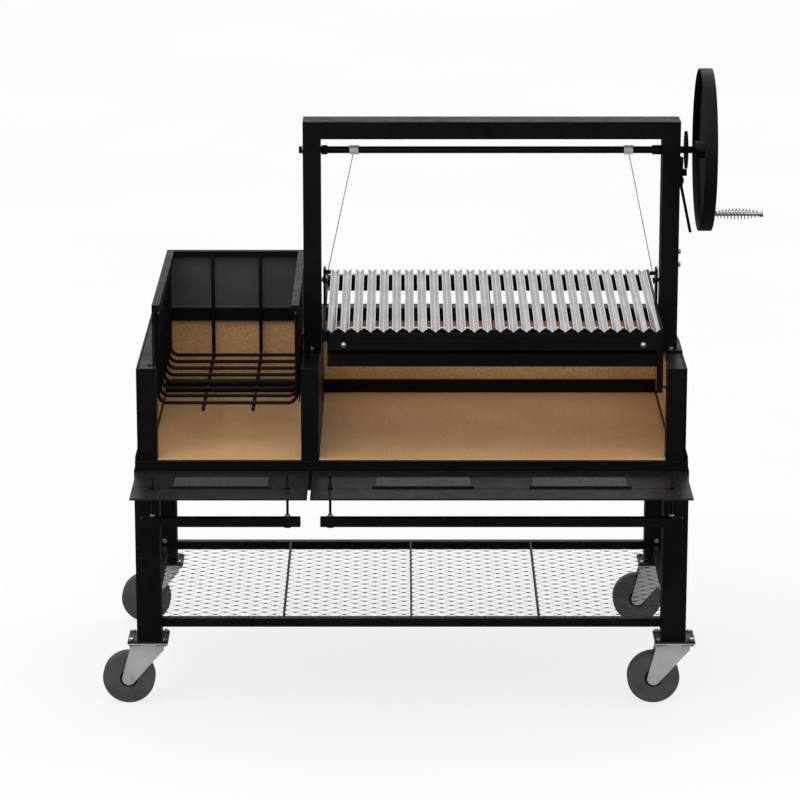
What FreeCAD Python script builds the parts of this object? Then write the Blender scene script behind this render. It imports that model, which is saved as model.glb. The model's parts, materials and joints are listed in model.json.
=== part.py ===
"""Wood-fire parrilla grill on casters, with a side ember basket and a wheel-raised grate.

Millimetres. While the parts are drawn, x runs to the grill's right from the middle of the
stand, y runs back from the front faces of the front legs, and z runs up from the floor.
save() then moves every part so that the origin is on the floor, under the middle of the
whole grill.
"""
import FreeCAD, Part
import math
import os

V = FreeCAD.Vector
X_AXIS = V(1, 0, 0)
Y_AXIS = V(0, 1, 0)
Z_AXIS = V(0, 0, 1)

# ---- fits ----
running_gap = 0.05          # radial clearance of a shaft in its bore
face_gap = 0.5              # gap between faces that slide past each other

# ---- legs and rails of the stand ----
stand_half_width = 786
stand_depth = 808
leg_side = 70
leg_wall = 3
leg_foot_z = 196
deck_z = 702                # top of the legs and of the upper rails
rail_height = 60
rail_depth = 40
rail_wall = 2

# ---- casters ----
wheel_radius = 75
wheel_width = 45
tread_depth = 20
axle_radius = 6
caster_trail = 58
plate_x = 755               # caster centre, out from the middle
plate_size_x = 115
plate_size_y = 104
foot_plate = 6
caster_plate = 4
bolt_spacing_x = 95
bolt_spacing_y = 80
bolt_radius = 4
bolt_flats = 13
nut_height = 6.5
race_radius = 36
race_height = 10
kingpin_radius = 8
crown_height = 12
fork_thickness = 3.5
fork_half_gap = 25.5
fork_nose_radius = 18.5
fork_head_front = 45
fork_head_back = 54
crown_plate = 4

# ---- lower shelf ----
shelf_top = 254
shelf_rail = 25
shelf_inset = 18
shelf_crossbar = 6
shelf_crossbar_height = 16
shelf_pitch = 367
mesh_z = 236.5
mesh_thickness = 3

# ---- fire tray ----
pan_half_width = 782
pan_overhang = 10
pan_back_inset = 4
pan_plate = 3
lip_depth = 14
lip_top = 731
rim_top = 741
shoulder_top = 758
floor_brick_top = 733

# ---- firebox walls ----
wall_half_width = 775.5
wall_front = 4
wall_top = 997
skin = 5
groove = 2
groove_inset = 6
post_inner_x = 719
post_depth = 50
top_rail_height = 25
left_rail_inner_x = 733
right_rail_inner_x = 727
tube_wall = 3
brick_inner_x = 740
cap_front_y = 738
cap_depth = 50
cap_bottom = 957
back_brick_y = 752
retainer_top = 773
retainer_depth = 10
side_strip_height = 15
side_strip = 3
divider_left = -312
divider_right = -262
lap_x = (-260, -200)
lap_z = (740, 765)

# ---- side ember enclosure ----
sheet = 3
hem_width = 22
hem_height = 18
panel_front_y = 42
panel_back_y = 762
panel_top = 1171
panel_bottom = 890
panel_clearance = 2
left_panel_x = -731
right_panel_x = -316
bracket_gap = 0.05
bracket_thickness = 6
bracket_width = 30
left_tab_spans = ((42, 151), (600, 709))
right_tab_spans = ((400, 480), (600, 680))
left_tab_reach = 14
right_tab_reach = 16

# ---- ember basket ----
rod_radius = 5.2
basket_floor_z = 862
basket_left = -727
basket_right = -322
basket_corner = 26
basket_side_top = 1125
basket_rib_front_y = 141
basket_rib_back_y = 696
basket_ribs = 8
runner_x = (-593, -451)
runner_tip_y = 105
runner_back_y = 728
runner_top = 1162
runner_bend = 22

# ---- front shelves, grilles and tool rails ----
ledge_front_y = -284
ledge_edge = 6
left_ledge_x = (-779, -289)
right_ledge_x = (-281, 777)
ledge_flange_bottom = 660
grille_centres = (-533, 32, 470)
grille_length = 262
grille_y = (-170, -80)
grille_base = 1
rib_pitch = 6.4
rib_width = 3
rib_height = 2
grille_bar_length = 284
grille_bar_y = -180
tool_rail_y = -188
tool_rail_bottom = 594
left_tool_rail_x = (-756, -310)
right_tool_rail_x = (-255, 756)
hanger_x = (-722, -346, -227, 724)
hanger_top = 745
washer_radius = 12.5
washer_height = 2.5

# ---- uprights and beam ----
left_upright_x = -308
right_upright_x = 711
upright_width = 50
upright_front_y = 222
upright_depth = 88
upright_foot = 6
upright_foot_y = (190, 342)
beam_bottom = 1610
beam_height = 50
vent_inset = 12
foot_bolt_y = (206, 326)
foot_bolt_x = (-285, 743)
stop_bolt_z = (1246, 1284)
stop_bolt_inset = 10
shelf_bolt_rise = 12

# ---- crank ----
shaft_radius = 10
shaft_y = 266
shaft_z = 1572
shaft_x = (-320, 838)
bushing_radius = 14
bushing_proud = 2
collar_radius = 13.5
left_collar_x = (-255.5, -238.5)
right_collar_x = (683, 710.5)
winding_x = (-163, 616)
winding_width = 30
cable_radius = 1.75
cable_gap = 0.4
gear_x = (776, 783)
gear_radius = 54
gear_root_radius = 47
gear_teeth = 30
gear_undercut = 0.02        # radians that a tooth's steep side leans back
wheel_rim_radius = 230.5
wheel_rim_x = (815, 851)
wheel_rim_band = 6
web_x = (833, 839)
hub_radius = 24
hub_x = (806, 856)
grip_y = 160
grip_z = 1408
spindle_radius = 5
spindle_end = 992
grip_x = (856, 983)
grip_middle_radius = 16
grip_end_radius = 8
knob_radius = 8

# ---- pawl ----
pawl_x = (764, 772)
pawl_pivot_z = 1483
pawl_pin_radius = 5
pawl_top = 1551
pawl_bend_z = 1466
pawl_tail_z = 1334
pawl_tail_shift = 28
pawl_width = 14
pawl_grip_width = 24
pawl_grip_height = 34
pawl_shoulder_radius = 9
pawl_head_radius = 8
pawl_head = 3
tooth_height = 20
tooth_slope = 8
tooth_clearance = 0.6

# ---- moving grate carriage ----
deck_slope = 2.5            # degrees, down to the front
deck_front_y = 12
deck_front_z = 1117
channel_count = 26
channel_pitch = 36.3
channel_width = 26.6
channel_depth = 10
channel_wall_x = 3.3
channel_wall_z = 2.5
channel_front_y = -16
channel_back_y = 622
channel_floor = 1.6         # half width of a channel's flat bottom
first_channel_x = -223.7
cross_bar_top = -8.5        # below the deck plane
cross_bar_bottom = -14
cross_bar_width = 15
front_bar_y = 26
rear_bar_y = 590
seat_gap = 0.05
side_rail = 7
side_rail_left_x = -252
side_rail_right_x = 705
side_rail_top = -2
side_rail_bottom = -42
side_rail_y = (-2, 625)
rear_rail_y = (585, 612)
rear_rail_bottom = -57
front_rail_y = (24, 48)
centre_rail_x = (224, 229)
low_tube_x = (-230, 697)
low_tube_y = (-5, 20)
low_tube_z = (1006, 1043)
hanger_plate = 7
trough_x = (-229, 697)
trough_y = (-50, 20)
trough_z = (1065, 1114)
trough_back_top = 1100
trough_wall = 2
trough_bolt_x = (-190, 646)
trough_bolt_z = 1080
trough_washer = 1.5
guide_y = (246, 286)
guide_top = 1228
lug_length = 14
lug_y_half = 6
lug_height = 10
left_lug_top = 1218
right_lug_top = 1214
roller_radius = 9
roller_z = 1187
roller_y = (287, 307)
roller_axle = 4
arm_x = (688, 706)
arm_y = (-11, -5)
arm_z = (931, 1055)
peg_z = 948
peg_end = 717

# ---- worked out from the dimensions above ----
leg_centre_x = stand_half_width - leg_side / 2
front_leg_y = leg_side / 2
rear_leg_y = stand_depth - leg_side / 2
plate_top = leg_foot_z - foot_plate
race_top = plate_top - caster_plate
crown_top = race_top - race_height - face_gap
cable_y = shaft_y + collar_radius + cable_radius + cable_gap
bracket_top = basket_side_top - 2 * rod_radius - bracket_gap
pan_back_y = stand_depth - pan_back_inset
wall_back = cap_front_y + cap_depth + groove + skin
skin_inner_x = wall_half_width - skin
frame_outer_x = skin_inner_x - groove
frame_bottom = deck_z + pan_plate
frame_back_y = cap_front_y + cap_depth
left_extent = -plate_x - caster_trail - wheel_radius
back_extent = rear_leg_y + plate_size_y / 2
ORIGIN = V((left_extent + spindle_end) / 2, (ledge_front_y + back_extent) / 2, 0)


# ---- drawing helpers ----
def box(x, y, z):
    """Block between the two ends given for each axis."""
    low = V(min(x), min(y), min(z))
    return Part.makeBox(abs(x[1] - x[0]), abs(y[1] - y[0]), abs(z[1] - z[0]), low)


def tube(x, y, z, along, wall):
    """Rectangular tube, open at both ends along one axis."""
    spans = {"x": x, "y": y, "z": z}
    inner = {}
    for axis, (low, high) in spans.items():
        inset = -1 if axis == along else wall
        inner[axis] = (low + inset, high - inset)
    return box(x, y, z).cut(box(inner["x"], inner["y"], inner["z"]))


def rod(start, end, radius):
    """Round bar between two points."""
    start = V(*start)
    run = V(*end) - start
    return Part.makeCylinder(radius, run.Length, start, run)


def ring(start, end, outer, inner):
    """Round sleeve between two points."""
    return rod(start, end, outer).cut(rod(start, end, inner))


def slab(points, thickness):
    """Flat outline of 3-D points, thickened by a vector."""
    wire = Part.makePolygon([V(*p) for p in points] + [V(*points[0])])
    return Part.Face(wire).extrude(thickness)


def hexagon(centre, axis, flats, height):
    """Hexagonal head or nut, standing on its centre point along an axis."""
    corner = flats / math.sqrt(3)
    side = V(0, 0, 1) if abs(axis.z) < 0.5 else V(1, 0, 0)
    across = axis.cross(side)
    points = []
    for k in range(6):
        turn = math.radians(60 * k)
        points.append(V(*centre) + side * (corner * math.cos(turn)) + across * (corner * math.sin(turn)))
    wire = Part.makePolygon(points + [points[0]])
    return Part.Face(wire).extrude(axis * height)


def mirrored(shape):
    """The same part on the other side of the grill."""
    return shape.mirror(V(0, 0, 0), X_AXIS)


def sloped(shape):
    """A part drawn on a level deck plane at z = 0, turned to the deck's slope and put in place."""
    placed = shape.translated(V(0, 0, deck_front_z))
    placed.rotate(V(0, deck_front_y, deck_front_z), X_AXIS, deck_slope)
    return placed


def save(name, *solids):
    """Write one named sub-part, moved to the whole grill's origin."""
    shape = solids[0] if len(solids) == 1 else Part.makeCompound(list(solids))
    shape = shape.translated(ORIGIN * -1)
    shape.exportStep("parts/" + name + ".step")


# ---- stand ----
def leg(side, y_centre):
    """Square tube leg."""
    x = (side * leg_centre_x - leg_side / 2, side * leg_centre_x + leg_side / 2)
    y = (y_centre - leg_side / 2, y_centre + leg_side / 2)
    return tube(x, y, (leg_foot_z, deck_z), "z", leg_wall)


def corners():
    """Name, side and leg centre of each corner of the stand."""
    return (("front_left", -1, front_leg_y), ("front_right", 1, front_leg_y),
            ("rear_left", -1, rear_leg_y), ("rear_right", 1, rear_leg_y))


def bolt_places(side, y_centre):
    """The four bolt positions of one caster plate."""
    places = []
    for dx in (-bolt_spacing_x / 2, bolt_spacing_x / 2):
        for dy in (-bolt_spacing_y / 2, bolt_spacing_y / 2):
            places.append((side * plate_x + dx, y_centre + dy))
    return places


def mount_plates(side, y_centre):
    """Foot plate of a leg, and the caster's top plate with its fixed race."""
    x = (side * plate_x - plate_size_x / 2, side * plate_x + plate_size_x / 2)
    y = (y_centre - plate_size_y / 2, y_centre + plate_size_y / 2)
    foot = box(x, y, (plate_top, leg_foot_z))
    top = box(x, y, (race_top, plate_top))
    centre = (side * plate_x, y_centre)
    race = rod((*centre, race_top - race_height), (*centre, race_top), race_radius)
    top = top.fuse(race)
    top = top.cut(rod((*centre, race_top - race_height), (*centre, plate_top), kingpin_radius))
    for bx, by in bolt_places(side, y_centre):
        hole = rod((bx, by, race_top), (bx, by, leg_foot_z), bolt_radius)
        foot = foot.cut(hole)
        top = top.cut(hole)
    return [foot, top.removeSplitter()]


def caster_bolts(side, y_centre):
    """Bolts with their nuts, through both plates of one caster."""
    solids = []
    for bx, by in bolt_places(side, y_centre):
        low = race_top - nut_height
        bolt = rod((bx, by, low), (bx, by, leg_foot_z), bolt_radius)
        head = hexagon((bx, by, low), Z_AXIS, bolt_flats, nut_height)
        nut = hexagon((bx, by, leg_foot_z), Z_AXIS, bolt_flats, nut_height)
        solids.append(bolt.fuse([head, nut]))
    return solids


def tangent_point(outer, centre, radius, turn):
    """Where a straight line from an outer point touches a circle, in the x-z plane."""
    dx = outer[0] - centre[0]
    dz = outer[1] - centre[1]
    reach = math.hypot(dx, dz)
    angle = math.atan2(dz, dx) + turn * math.acos(radius / reach)
    return (centre[0] + radius * math.cos(angle), centre[1] + radius * math.sin(angle))


def fork_side(x_centre, y):
    """One cheek of the fork: wide at the crown, round at the axle."""
    axle = (x_centre - caster_trail, wheel_radius)
    back = (x_centre - fork_head_back, crown_top - crown_height)
    front = (x_centre + fork_head_front, crown_top - crown_height)
    left = tangent_point(back, axle, fork_nose_radius, 1)
    right = tangent_point(front, axle, fork_nose_radius, -1)
    bottom = (axle[0], axle[1] - fork_nose_radius)

    def at(point):
        return V(point[0], y, point[1])

    top_back = (back[0], crown_top)
    top_front = (front[0], crown_top)
    edges = [Part.LineSegment(at(top_back), at(back)).toShape(),
             Part.LineSegment(at(back), at(left)).toShape(),
             Part.Arc(at(left), at(bottom), at(right)).toShape(),
             Part.LineSegment(at(right), at(front)).toShape(),
             Part.LineSegment(at(front), at(top_front)).toShape(),
             Part.LineSegment(at(top_front), at(top_back)).toShape()]
    cheek = Part.Face(Part.Wire(edges)).extrude(Y_AXIS * fork_thickness)
    hole = rod((axle[0], y, axle[1]), (axle[0], y + fork_thickness, axle[1]), axle_radius)
    return cheek.cut(hole)


def caster_fork(side, y_centre):
    """Swivelling fork with its kingpin, and the axle bolt through it."""
    x_centre = side * plate_x
    near = y_centre - fork_half_gap - fork_thickness
    far = y_centre + fork_half_gap
    disc = rod((x_centre, y_centre, crown_top - crown_height), (x_centre, y_centre, crown_top), fork_half_gap)
    bridge = box((x_centre - fork_head_back, x_centre + fork_head_front), (near, far + fork_thickness),
                 (crown_top - crown_plate, crown_top))
    pin_top = plate_top - 1
    pin = rod((x_centre, y_centre, crown_top), (x_centre, y_centre, pin_top), kingpin_radius - running_gap)
    body = disc.fuse([bridge, pin, fork_side(x_centre, near), fork_side(x_centre, far)]).removeSplitter()
    axle_x = x_centre - caster_trail
    ends = (near - nut_height, far + fork_thickness + nut_height)
    axle = rod((axle_x, ends[0], wheel_radius), (axle_x, ends[1], wheel_radius), axle_radius)
    head = hexagon((axle_x, ends[0], wheel_radius), Y_AXIS, 3 * axle_radius, nut_height)
    nut = hexagon((axle_x, far + fork_thickness, wheel_radius), Y_AXIS, 3 * axle_radius, nut_height)
    return [body, axle.fuse([head, nut])]


def caster_wheel(side, y_centre):
    """Tread and hub of one wheel."""
    x = side * plate_x - caster_trail
    start = (x, y_centre - wheel_width / 2, wheel_radius)
    end = (x, y_centre + wheel_width / 2, wheel_radius)
    tread = ring(start, end, wheel_radius, wheel_radius - tread_depth)
    tread = tread.makeFillet(tread_depth / 4, [e for e in tread.Edges
                                               if e.Curve.TypeId == "Part::GeomCircle"
                                               and e.Curve.Radius > wheel_radius - 1])
    hub = ring(start, end, wheel_radius - tread_depth, axle_radius + running_gap)
    return [tread, hub]


def upper_rails():
    """Front, rear and side rails between the tops of the legs."""
    z = (deck_z - rail_height, deck_z)
    inner_x = stand_half_width - leg_side
    across = (-inner_x, inner_x)
    along = (leg_side, stand_depth - leg_side)
    front = tube(across, (0, rail_depth), z, "x", rail_wall)
    rear = tube(across, (stand_depth - rail_depth, stand_depth), z, "x", rail_wall)
    left = tube((-stand_half_width, -stand_half_width + rail_depth), along, z, "y", rail_wall)
    return [front, rear, left, mirrored(left)]


def shelf_frame():
    """Rails of the lower shelf and the bars across it."""
    z = (shelf_top - shelf_rail, shelf_top)
    inner_x = stand_half_width - leg_side
    front_y = (shelf_inset, shelf_inset + shelf_rail)
    rear_y = (stand_depth - shelf_inset - shelf_rail, stand_depth - shelf_inset)
    front = tube((-inner_x, inner_x), front_y, z, "x", rail_wall)
    rear = tube((-inner_x, inner_x), rear_y, z, "x", rail_wall)
    side_x = (-leg_centre_x - shelf_rail / 2, -leg_centre_x + shelf_rail / 2)
    left = tube(side_x, (leg_side, stand_depth - leg_side), z, "y", rail_wall)
    bars = []
    for k in (-1, 0, 1):
        x = (k * shelf_pitch - shelf_crossbar / 2, k * shelf_pitch + shelf_crossbar / 2)
        bars.append(box(x, (front_y[1], rear_y[0]), (shelf_top - shelf_crossbar_height, shelf_top)))
    return [front, rear, left, mirrored(left)] + bars


def shelf_mesh():
    """One sheet of mesh in each bay of the lower shelf."""
    edge_x = leg_centre_x - shelf_rail / 2
    stops = [-edge_x, -shelf_pitch, 0, shelf_pitch, edge_x]
    front_y = shelf_inset + shelf_rail
    rear_y = stand_depth - front_y
    sheets = []
    for left, right in zip(stops[:-1], stops[1:]):
        left_edge = left + (shelf_crossbar / 2 if left != stops[0] else 0)
        right_edge = right - (shelf_crossbar / 2 if right != stops[-1] else 0)
        sheets.append(box((left_edge, right_edge), (front_y, rear_y), (mesh_z, mesh_z + mesh_thickness)))
    inner_x = stand_half_width - leg_side
    for k, y in ((0, (front_y, leg_side)), (-1, (stand_depth - leg_side, rear_y))):
        corner = box((-edge_x, -inner_x), y, (mesh_z, mesh_z + mesh_thickness))
        sheets[0] = sheets[0].cut(corner)
        sheets[-1] = sheets[-1].cut(mirrored(corner))
    return sheets


def base_pan():
    """Steel tray under the fire, with a low front lip and a sloped shoulder on the other sides."""
    x = (-pan_half_width, pan_half_width)
    plate = box(x, (-pan_overhang, pan_back_y), (deck_z, frame_bottom))
    lip = box(x, (-pan_overhang, lip_depth - pan_overhang), (frame_bottom, lip_top))
    rim = box(x, (0, pan_back_y), (frame_bottom, rim_top))

    def level(half_width, back, z):
        return Part.makePolygon([V(-half_width, 0, z), V(half_width, 0, z), V(half_width, back, z),
                                 V(-half_width, back, z), V(-half_width, 0, z)])

    shoulder = Part.makeLoft([level(pan_half_width, pan_back_y, rim_top),
                              level(wall_half_width, wall_back, shoulder_top)], True, True)
    inside = box((-wall_half_width, wall_half_width), (lip_depth - pan_overhang, wall_back),
                 (frame_bottom, shoulder_top))
    front_inside = box((-wall_half_width, wall_half_width), (-pan_overhang, lip_depth - pan_overhang),
                       (lip_top, shoulder_top))
    return plate.fuse([lip, rim.fuse(shoulder)]).cut(inside.fuse(front_inside)).removeSplitter()


def front_post():
    """Left front post of the firebox, open at the foot, with the strip that meets the skin."""
    y = (wall_front, wall_front + post_depth)
    post = box((-frame_outer_x, -post_inner_x), y, (frame_bottom, wall_top))
    strip = box((-skin_inner_x, -frame_outer_x), (wall_front + groove_inset, y[1]),
                (frame_bottom, wall_top - groove_inset))
    hollow = box((-frame_outer_x + tube_wall, -post_inner_x - tube_wall), (y[0] + tube_wall, y[1] - tube_wall),
                 (frame_bottom, wall_top - tube_wall))
    return post.fuse(strip).cut(hollow)


def side_rail_top_of_wall(inner_x):
    """Left top rail of the firebox."""
    y = (wall_front + post_depth, cap_front_y)
    rail = tube((-frame_outer_x, -inner_x), y, (wall_top - top_rail_height, wall_top), "y", rail_wall)
    strip = box((-skin_inner_x, -frame_outer_x), y,
                (wall_top - top_rail_height, wall_top - groove_inset))
    return rail.fuse(strip)


def wall_frames():
    """Posts and top rails of both side walls."""
    rear_post = tube((-frame_outer_x, -brick_inner_x), (cap_front_y, frame_back_y),
                     (frame_bottom, cap_bottom), "z", rail_wall)
    left = [front_post(), side_rail_top_of_wall(left_rail_inner_x), rear_post]
    right = [mirrored(front_post()), mirrored(side_rail_top_of_wall(right_rail_inner_x)), mirrored(rear_post)]
    return left + right


def back_cap():
    """Tube along the top of the back wall."""
    cap = tube((-frame_outer_x, frame_outer_x), (cap_front_y, frame_back_y), (cap_bottom, wall_top), "x", tube_wall)
    strip = box((-frame_outer_x, frame_outer_x), (frame_back_y, frame_back_y + groove),
                (cap_bottom, wall_top - groove_inset))
    return cap.fuse(strip)


def floor_bricks():
    """Refractory floor slab of each bay."""
    y = (lip_depth - pan_overhang, back_brick_y)
    z = (frame_bottom, floor_brick_top)
    left = box((-brick_inner_x, divider_left), y, z)
    right = box((divider_right, brick_inner_x), y, z)
    post = box((-frame_outer_x, -post_inner_x), (wall_front, wall_front + post_depth), z)
    return [left.cut(post), right.cut(mirrored(post))]


def wall_bricks():
    """Refractory linings of the side and back walls."""
    rail_bottom = wall_top - top_rail_height
    left = box((-skin_inner_x, -brick_inner_x), (wall_front + post_depth, cap_front_y), (frame_bottom, rail_bottom))
    y = (back_brick_y, frame_back_y + groove)
    z = (frame_bottom, cap_bottom)
    return [left, mirrored(left), box((-brick_inner_x, divider_left), y, z),
            box((divider_right, brick_inner_x), y, z)]


def brick_retainers():
    """Bars that hold the foot of the linings, and the lap plate beside the divider."""
    bar_y = (back_brick_y - retainer_depth, back_brick_y)
    bar_z = (floor_brick_top, retainer_top)
    strip_y = (wall_front + post_depth, bar_y[0])
    left_strip = box((-brick_inner_x, -brick_inner_x + side_strip), strip_y,
                     (floor_brick_top, floor_brick_top + side_strip_height))
    lap = box(lap_x, (bar_y[0] - sheet, bar_y[0]), lap_z)
    return [box((-brick_inner_x, divider_left), bar_y, bar_z), box((divider_right, brick_inner_x), bar_y, bar_z),
            left_strip, mirrored(left_strip), lap]


def divider():
    """Hollow wall between the ember bay and the grill bay, open underneath."""
    x = (divider_left, divider_right)
    inner_x = (divider_left + tube_wall, divider_right - tube_wall)
    front = box(x, (wall_front, cap_front_y), (frame_bottom, wall_top))
    back = box(x, (cap_front_y, frame_back_y), (frame_bottom, cap_bottom))
    hollow = box(inner_x, (wall_front + tube_wall, cap_front_y - tube_wall), (frame_bottom, wall_top - tube_wall))
    return front.fuse(back).cut(hollow).removeSplitter()


# ---- side ember enclosure ----
def hem(x_outer, inward):
    """Folded top edge of a side panel: top, inner lip and a closed front end."""
    x_inner = x_outer + inward * hem_width
    y = (panel_front_y, panel_back_y)
    top = box((x_outer, x_inner), y, (panel_top - sheet, panel_top))
    lip = box((x_inner - inward * sheet, x_inner), y, (panel_top - hem_height, panel_top))
    end = box((x_outer, x_inner), (panel_front_y, panel_front_y + sheet), (panel_top - hem_height, panel_top))
    return top.fuse([lip, end])


def side_panel(x_outer, inward, low_front_y, tab_spans, tab_reach):
    """Thin side panel that hangs inside the firebox by tabs on the wall top."""
    x = (x_outer, x_outer + inward * sheet)
    upper = box(x, (panel_front_y, panel_back_y), (wall_top, panel_top))
    lower = box(x, (low_front_y, cap_front_y - panel_clearance), (panel_bottom, wall_top))
    parts = [lower, hem(x_outer, inward)]
    for span in tab_spans:
        parts.append(box((x_outer - inward * tab_reach, x_outer), span, (wall_top, wall_top + sheet)))
    for y in bracket_places():
        reach = x_outer + inward * (basket_reach(x_outer))
        parts.append(box((x[1], reach), (y, y + bracket_width), (bracket_top - bracket_thickness, bracket_top)))
    return upper.fuse(parts).removeSplitter()


def basket_reach(x_outer):
    """How far a bracket reaches in from a panel to pass under the basket's top rod."""
    side = basket_left if x_outer < (basket_left + basket_right) / 2 else basket_right
    return abs(side - x_outer) + 2 * rod_radius


def basket_rib_places():
    """Positions of the basket's U-shaped ribs, front to back."""
    pitch = (basket_rib_back_y - basket_rib_front_y) / (basket_ribs - 1)
    return [basket_rib_front_y + k * pitch for k in range(basket_ribs)]


def bracket_places():
    """Front edges of the support brackets, between ribs near each end of the basket."""
    ribs = basket_rib_places()
    places = []
    for k in (1, basket_ribs - 3):
        middle = (ribs[k] + ribs[k + 1]) / 2
        places.append(middle - bracket_width / 2)
    return places


def back_panel():
    """Back of the ember enclosure, with a folded top and a foot on the wall."""
    x = (left_panel_x + sheet, right_panel_x - sheet)
    hem_x = (left_panel_x + hem_width, right_panel_x - hem_width)
    hem_y = (panel_back_y - hem_width, panel_back_y)
    back = box(x, (panel_back_y - sheet, panel_back_y), (wall_top, panel_top - hem_height))
    foot = box(x, hem_y, (wall_top, wall_top + sheet))
    top = box(hem_x, hem_y, (panel_top - sheet, panel_top))
    lip = box(hem_x, (hem_y[0], hem_y[0] + sheet), (panel_top - hem_height, panel_top))
    rise = box(hem_x, (panel_back_y - sheet, panel_back_y), (panel_top - hem_height, panel_top))
    return back.fuse([foot, top, lip, rise]).removeSplitter()


# ---- ember basket ----
def bent_rod(points, bends, radius):
    """Round rod through points, with an arc of the given radius at each inner point."""
    vectors = [V(*p) for p in points]
    edges = []
    start = vectors[0]
    for k in range(1, len(vectors) - 1):
        before = (vectors[k - 1] - vectors[k]).normalize()
        after = (vectors[k + 1] - vectors[k]).normalize()
        half = before.getAngle(after) / 2
        cut_back = bends / math.tan(half)
        first = vectors[k] + before * cut_back
        last = vectors[k] + after * cut_back
        middle_line = (before + after).normalize()
        middle = vectors[k] + middle_line * (bends / math.sin(half) - bends)
        edges.append(Part.LineSegment(start, first).toShape())
        edges.append(Part.Arc(first, middle, last).toShape())
        start = last
    edges.append(Part.LineSegment(start, vectors[-1]).toShape())
    path = Part.Wire(edges)
    section = Part.Wire(Part.makeCircle(radius, vectors[0], vectors[1] - vectors[0]))
    return path.makePipeShell([section], True, True)


def basket_solids():
    """U-shaped ribs, two runners under them and a rod along the top of each side."""
    left = basket_left + rod_radius
    right = basket_right - rod_radius
    rib_top = basket_side_top - 2 * rod_radius
    solids = []
    for y in basket_rib_places():
        points = [(left, y, rib_top), (left, y, basket_floor_z),
                  (right, y, basket_floor_z), (right, y, rib_top)]
        solids.append(bent_rod(points, basket_corner, rod_radius))
    runner_z = basket_floor_z - 2 * rod_radius
    for x in runner_x:
        points = [(x, runner_tip_y, runner_z), (x, runner_back_y, runner_z), (x, runner_back_y, runner_top)]
        solids.append(bent_rod(points, runner_bend, rod_radius))
    top_z = basket_side_top - rod_radius
    ends = (basket_rib_front_y - 2 * rod_radius, basket_rib_back_y + 2 * rod_radius)
    for x in (left, right):
        solids.append(rod((x, ends[0], top_z), (x, ends[1], top_z), rod_radius))
    return solids


# ---- front shelves ----
def front_shelf(x, holes):
    """Folded sheet shelf in front of the fire, bolted to the front rail."""
    y = (ledge_front_y, 0)
    plate = box(x, y, (deck_z - sheet, deck_z))
    front = box(x, (ledge_front_y, ledge_front_y + sheet), (deck_z - ledge_edge, deck_z))
    left = box((x[0], x[0] + sheet), y, (deck_z - ledge_edge, deck_z))
    right = box((x[1] - sheet, x[1]), y, (deck_z - ledge_edge, deck_z))
    flange = box(x, (-sheet, 0), (ledge_flange_bottom, deck_z))
    shelf = plate.fuse([front, left, right, flange]).removeSplitter()
    for hx in holes:
        shelf = shelf.cut(rod((hx, tool_rail_y, ledge_flange_bottom), (hx, tool_rail_y, deck_z), bolt_radius))
    return shelf


def shelf_grilles():
    """Ribbed drip grilles set on the shelves, each with a stop bar in front."""
    solids = []
    ribs = int(grille_length / rib_pitch)
    for centre in grille_centres:
        left = centre - grille_length / 2
        base_z = (deck_z, deck_z + grille_base)
        plate = box((left, left + grille_length), grille_y, base_z)
        first = left + (grille_length - (ribs - 1) * rib_pitch - rib_width) / 2
        bars = []
        for k in range(ribs):
            x = first + k * rib_pitch
            bars.append(box((x, x + rib_width), grille_y, (base_z[1], base_z[1] + rib_height)))
        solids.append(plate.fuse(bars))
        bar_x = (centre - grille_bar_length / 2, centre + grille_bar_length / 2)
        bar_y = (grille_bar_y - ledge_edge / 2, grille_bar_y + ledge_edge / 2)
        solids.append(box(bar_x, bar_y, (deck_z, deck_z + ledge_edge)))
    return solids


def tool_rails():
    """Square tubes that hang under the shelves."""
    y = (tool_rail_y - shelf_rail / 2, tool_rail_y + shelf_rail / 2)
    z = (tool_rail_bottom, tool_rail_bottom + shelf_rail)
    rails = []
    for x in (left_tool_rail_x, right_tool_rail_x):
        rail = tube(x, y, z, "x", rail_wall)
        for hx in hanger_x:
            rail = rail.cut(rod((hx, tool_rail_y, z[0]), (hx, tool_rail_y, z[1]), bolt_radius))
        rails.append(rail)
    return rails


def tool_rail_hanger(x):
    """Threaded rod with the washers and nuts that hold the rail and grip the shelf."""
    rail_top = tool_rail_bottom + shelf_rail

    def at(z):
        return (x, tool_rail_y, z)

    hanger = rod(at(tool_rail_bottom - washer_height), at(hanger_top), bolt_radius)
    washers = [rod(at(tool_rail_bottom - washer_height), at(tool_rail_bottom), washer_radius),
               rod(at(rail_top), at(rail_top + washer_height), washer_radius)]
    levels = (rail_top + washer_height, deck_z - sheet - nut_height, deck_z)
    nuts = [hexagon(at(z), Z_AXIS, bolt_flats, nut_height) for z in levels]
    return hanger.fuse(washers + nuts)


# ---- uprights ----
def upright(x_low):
    """Tall tube beside the grate, bored for the shaft."""
    x = (x_low, x_low + upright_width)
    y = (upright_front_y, upright_front_y + upright_depth)
    post = tube(x, y, (wall_top + upright_foot, beam_bottom), "z", tube_wall)
    return post.cut(rod((x[0], shaft_y, shaft_z), (x[1], shaft_y, shaft_z), bushing_radius))


def top_beam():
    """Tube across the tops of the uprights, closed at both ends."""
    x = (left_upright_x, right_upright_x + upright_width)
    y = (upright_front_y, upright_front_y + upright_depth)
    z = (beam_bottom, beam_bottom + beam_height)
    beam = tube(x, y, z, "x", tube_wall)
    ends = [box((x[0], x[0] + tube_wall), y, z), box((x[1] - tube_wall, x[1]), y, z)]
    vent = box((left_upright_x + vent_inset, left_upright_x + upright_width - vent_inset),
               (upright_front_y + vent_inset, upright_front_y + upright_depth - vent_inset),
               (beam_bottom, beam_bottom + tube_wall))
    return beam.fuse(ends).cut(vent)


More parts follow.
